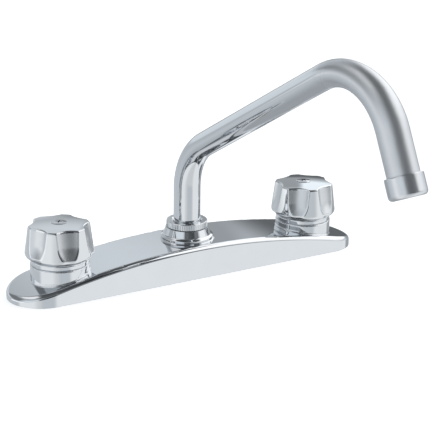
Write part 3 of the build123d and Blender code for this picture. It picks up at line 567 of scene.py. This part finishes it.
knob_plate = chrome("knob_plate", KNOB_TINT, PLATED_GLOSS, wave=KNOB_WAVE)
knob_nodes = knob_plate.node_tree
unbuffed = knob_nodes.nodes.new("ShaderNodeAttribute")
unbuffed.attribute_name = "satin"
dull_by(knob_plate, reckon(knob_nodes, "MULTIPLY", unbuffed.outputs["Fac"], FLUTE_SATIN))
for side, x, lobe_angle in (("hot", -KNOB_CENTRES, HOT_LOBE), ("cold", KNOB_CENTRES, COLD_LOBE)):
    knob = knob_mesh(f"fluted_knob_{side}", x, lobe_angle)
    knob.data.materials.append(knob_plate)
    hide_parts(f"knob_{side}")
    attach(knob, f"{side}_knob")

# ---------------------------------------------------------------------------
# Handle screws. Low domed stainless heads with a cross recess, which is
#  darkened with painted shade. Each keeps its knob down on the square end of the stem.
SCREW_TINT = (0.62, 0.63, 0.65)
SCREW_GLOSS = 0.06
# colour and reach of the painted shade in the cross recess and round the head
RECESS_SHADE = (0.02, 0.02, 0.02)
SHADE_REACH = 0.0016
screw_plate = chrome("screw_plate", SCREW_TINT, SCREW_GLOSS)
screw_nodes = screw_plate.node_tree
# painted shade: ambient occlusion darkens the head's colour to near black in the cross recess and
# round the head
recess = screw_nodes.nodes.new("ShaderNodeAmbientOcclusion")
recess.samples = 12
recess.inputs["Distance"].default_value = SHADE_REACH
unshaded = spread(screw_nodes, recess.outputs["AO"], 0.0, 1.0, 0.5, 0.9)
head_colour = screw_nodes.nodes["Principled BSDF"].inputs["Base Color"]
wire(screw_nodes, blend(screw_nodes, unshaded, RECESS_SHADE, SCREW_TINT), head_colour)
dress(screw_plate, "handle_screw_hot", "handle_screw_cold")

# ---------------------------------------------------------------------------
# Hub of the spout. A flared collar and a knurled ring nut, both plated brass.
# The nut's lip keeps the spout down and leaves it free to swing.
NUT_TINT = (0.68, 0.70, 0.72)
NUT_GLOSS = 0.07
dress(chrome("collar_plate", COVER_TINT, PLATED_GLOSS), "spout_collar")
dress(chrome("nut_plate", NUT_TINT, NUT_GLOSS, wipe=0.06), "spout_nut")

# ---------------------------------------------------------------------------
# Spout. Drawn brass tube, bent twice, opened out towards its end and plated.
# The leg and the rise are bright. Past the bend the polish is softer.
SPOUT_BRIGHT = 0.035
SPOUT_SOFT = 0.40
SOFT_FROM = -0.120  # along Y, where the softer polish begins
SOFT_TO = -0.172
spout_plate = chrome("spout_plate", COVER_TINT, SPOUT_BRIGHT)
spout_nodes = spout_plate.node_tree
spout_place = spout_nodes.nodes.new("ShaderNodeTexCoord").outputs["Object"]
along_y = parts_of(spout_nodes, spout_place)[1]
softening = SPOUT_SOFT - SPOUT_BRIGHT
dull_by(spout_plate, spread(spout_nodes, along_y, 0.0, softening, SOFT_FROM, SOFT_TO, soft=True))
dress(spout_plate, "spout_tube")

# ---------------------------------------------------------------------------
# Foot of the spout. A brazed brass sleeve, grooved for its two seals, and a
# plain plastic bearing ring between the sleeve and the nut's lip.
ACETAL_GRAIN = 1400.0
ACETAL_DEPTH = 1e-5
slip_acetal = moulded("slip_ring_acetal", ACETAL, 0.32, ACETAL_GRAIN, ACETAL_DEPTH, cast=0.93)
dress(turned_brass("sleeve_brass", 0.14, 0.0), "spout_sleeve")
dress(slip_acetal, "slip_ring")

# ---------------------------------------------------------------------------
# Aerator. A plated cup screwed on the end of the tube. It holds a moulded cage
# and grid, a woven wire screen and a flat rubber washer.
HOUSING_GLOSS = 0.28
SCREEN_STEEL = (0.52, 0.53, 0.54)
# colour of the painted shade in the gaps between the screen's wires
SCREEN_GAP_SHADE = (0.02, 0.02, 0.02)
SCREEN_PITCH = 0.0006
SCREEN_DEPTH = 1e-4
dress(chrome("aerator_plate", COVER_TINT, HOUSING_GLOSS, wipe=0.08), "aerator_housing")
cage_acetal = moulded("cage_acetal", ACETAL, 0.32, ACETAL_GRAIN, ACETAL_DEPTH, cast=0.93)
dress(cage_acetal, "aerator_cage")
aerator_rubber = moulded("aerator_rubber", RUBBER, gloss=0.45, grain=1500.0, depth=2e-5)
dress(aerator_rubber, "aerator_washer")


def woven(name, tone):
    """Fine woven wire: steel crossing wires, with painted shade in the gaps between them."""
    finish, tree, metal, place = start_finish(name)
    wiped = clouds(tree, place, 600.0, 3.0)
    wire(tree, spread(tree, wiped, 0.28, 0.45), metal.inputs["Roughness"])
    x, y, _ = parts_of(tree, place)
    rows = [reckon(tree, "PINGPONG", part, SCREEN_PITCH / 2) for part in (x, y)]
    crossing = reckon(tree, "MAXIMUM", *rows)
    wires = spread(tree, crossing, 0.0, 1.0, SCREEN_PITCH * 0.22, SCREEN_PITCH * 0.34)
    # painted shade: the gaps between the wires are coloured near black
    wire(tree, blend(tree, wires, SCREEN_GAP_SHADE, tone), metal.inputs["Base Color"])
    wire(tree, relief(tree, wires, SCREEN_DEPTH), metal.inputs["Normal"])
    return finish


dress(woven("screen_wire", SCREEN_STEEL), "aerator_screen")

# ---------------------------------------------------------------------------
# The ledge. A plain pale counter, so bright that no shadow is left on it, as
# in the catalogue picture.
LEDGE_TONE = (0.93, 0.935, 0.94, 1.0)
LEDGE_MATT = 0.9
LEDGE_GLOW = 0.62
LEDGE_SIZE = 6.0
ledge_mesh = bpy.data.meshes.new("ledge")
grid = bmesh.new()
bmesh.ops.create_grid(grid, x_segments=1, y_segments=1, size=LEDGE_SIZE)
grid.to_mesh(ledge_mesh)
grid.free()
ledge = bpy.data.objects.new("ledge", ledge_mesh)
bpy.context.collection.objects.link(ledge)
counter = bpy.data.materials.new("pale_ledge")
counter.use_nodes = True
pale_shader = counter.node_tree.nodes["Principled BSDF"]
pale_shader.inputs["Base Color"].default_value = LEDGE_TONE
pale_shader.inputs["Roughness"].default_value = LEDGE_MATT
pale_shader.inputs["Emission Color"].default_value = (1, 1, 1, 1)
pale_shader.inputs["Emission Strength"].default_value = LEDGE_GLOW
ledge_mesh.materials.append(counter)
ledge.visible_glossy = False

# ---------------------------------------------------------------------------
# The camera stands to the left of the faucet and a little above it, as far
# off as the photograph was taken from.
CAMERA_TURN = 31.683
CAMERA_DIP = 18.448
CAMERA_ROLL = 0.852
CAMERA_AWAY = 1.0992
CAMERA_AIM = Vector((0.02895, 0.0, 0.03071))
FOCUS_PIXELS = 1499.4
PICTURE_PIXELS = 443
SENSOR = 36
turn, dip, roll = (math.radians(a) for a in (CAMERA_TURN, CAMERA_DIP, CAMERA_ROLL))
ahead = Vector((math.sin(turn) * math.cos(dip), math.cos(turn) * math.cos(dip), -math.sin(dip)))
level = Vector((math.cos(turn), -math.sin(turn), 0.0))
upward = level.cross(ahead)
right = math.cos(roll) * level + math.sin(roll) * upward
top = -math.sin(roll) * level + math.cos(roll) * upward
facing = Matrix((right, top, -ahead)).transposed().to_4x4()
camera_data = bpy.data.cameras.new("camera")
camera_data.lens = FOCUS_PIXELS * SENSOR / PICTURE_PIXELS
camera_data.clip_end = 50
camera = bpy.data.objects.new("camera", camera_data)
camera.matrix_world = Matrix.Translation(CAMERA_AIM - ahead * CAMERA_AWAY) @ facing
bpy.context.collection.objects.link(camera)
bpy.context.scene.camera = camera

# ---------------------------------------------------------------------------
# The studio. A white table, soft boxes and dark flags all round, drawn on the
# world so that the plating has something to mirror.
dome = bpy.data.worlds.new("dome")
dome.use_nodes = True
bpy.context.scene.world = dome
sky = dome.node_tree
outward = sky.nodes.new("ShaderNodeTexCoord").outputs["Generated"]
sky_height = parts_of(sky, outward)[2]
fade = sky.nodes.new("ShaderNodeValToRGB")
wire(sky, spread(sky, sky_height, 0.0, 1.0, -1.0, 1.0), fade.inputs["Fac"])
heading = reckon_vector(sky, "NORMALIZE", reckon_vector(sky, "MULTIPLY", outward, (1, 1, 0)))
layers = [fade.outputs["Color"]]


def cool(tone):
    """A slightly blue grey of that brightness."""
    return (0.94 * tone, tone, 1.045 * tone)


def pale(tone):
    """A near-white of that brightness, as the table has."""
    return (0.98 * tone, tone, 1.01 * tone)


def even(tone):
    """A neutral grey of that brightness."""
    return (tone, tone, tone)


def band(up, tone):
    """The tone of the bare studio at that many degrees above the horizon."""
    stops = fade.color_ramp.elements
    if up == -90:
        stop = stops[0]
    elif up == 90:
        stop = stops[-1]
    else:
        stop = stops.new((math.sin(math.radians(up)) + 1) / 2)
    stop.color = (*cool(tone), 1)


def panel(start, end, low, high, tone, edge=6.0, rim=3.0, cast=cool):
    """A soft-edged patch from start to end degrees round from the camera, rightwards."""
    aim, half = math.radians((start + end) / 2), (end - start) / 2
    front = math.cos(aim) * -ahead.xy.normalized() + math.sin(aim) * level.xy
    toward = reckon_vector(sky, "DOT_PRODUCT", heading, (front.x, front.y, 0))
    outer = math.cos(math.radians(min(half + edge / 2, 180)))
    inner = math.cos(math.radians(max(half - edge / 2, 0)))
    across = spread(sky, toward, 0.0, 1.0, outer, inner, soft=True)
    mask = across
    foot, head = (max(low - rim / 2, -90), low + rim / 2), (min(high + rim / 2, 90), high - rim / 2)
    for clear, full in (foot, head):
        clear, full = math.sin(math.radians(clear)), math.sin(math.radians(full))
        end = spread(sky, sky_height, 0.0, 1.0, clear, full, soft=True)
        mask = reckon(sky, "MULTIPLY", mask, end)
    lay = sky.nodes.new("ShaderNodeMix")
    lay.data_type = "RGBA"
    wire(sky, mask, lay.inputs["Factor"])
    wire(sky, layers[-1], lay.inputs["A"])
    lay.inputs["B"].default_value = (*cast(tone), 1.0)
    layers.append(lay.outputs["Result"])


# bare studio, from the floor up to the dark ceiling
band(-90, 0.46)
band(-60, 0.46)
band(-40, 0.56)
band(-17, 0.72)
band(-3, 0.62)
band(8, 0.52)
band(20, 0.62)
band(32, 0.58)
band(46, 0.48)
band(57, 0.16)
band(90, 0.08)
# white table in front and to the right, a little duller straight ahead
panel(-74, 124, -90, -2, 1.04, edge=16, rim=4, cast=pale)
panel(-12, 46, -90, -4, 0.82, edge=26, rim=4, cast=pale)
panel(4, 44, -26, -1, 0.71, edge=16, rim=8)
# dark end of the table, behind to the right
panel(126, 160, -60, 6, 0.46, edge=12)
# back wall: dark foot that clears upwards
panel(162, 196, -8, 12, 0.16, edge=16, rim=7)
panel(168, 196, 20, 34, 0.84, edge=16, rim=12)
# small bright box over the wall, with a dark gap beside it
panel(160, 177.5, 17, 31, 1.20, edge=2, rim=5)
panel(177.5, 181.5, 12, 27, 0.42, edge=2, rim=4)
# tall soft box on the right, with a low fill beside it
panel(61, 170, 12, 60, 1.50, edge=3, rim=8, cast=even)
panel(61, 112, 5, 24, 1.20, edge=3, rim=4, cast=even)
panel(108, 136, -3, 13, 0.85, edge=8, rim=4)
panel(44, 68, -2, 5, 0.22, edge=5, rim=2.5)
# black flag on the near side of the box
panel(43, 60, 4, 62, 0.04, edge=3, rim=4)
# dark flags ahead, over the edge of the table
panel(22, 62, -1, 22, 0.24, edge=24, rim=3)
panel(-5, 40, -1, 22, 0.05, edge=12, rim=3)
panel(-9, 9, -1, 24, 0.15, edge=8, rim=3)
panel(-5, 44, 20, 36, 0.20, edge=14, rim=8)
panel(-24, 46, 34, 64, 0.12, edge=12, rim=8)
# low boxes on the left and an overhead one
panel(-60, -16, 2, 24, 0.95, edge=14, rim=6)
panel(-106, -56, -8, 5, 1.25, edge=10, rim=6, cast=pale)
panel(-172, -112, 1, 13, 0.88, edge=16, rim=6)
panel(-130, -76, 13, 38, 0.24, edge=10, rim=6)
panel(-122, -46, 44, 66, 1.10, edge=14, rim=6, cast=even)
glow = sky.nodes["Background"]
wire(sky, layers[-1], glow.inputs["Color"])
glow.inputs["Strength"].default_value = 1.0

view = bpy.context.scene.view_settings
view.view_transform = "Standard"
view.look = "None"
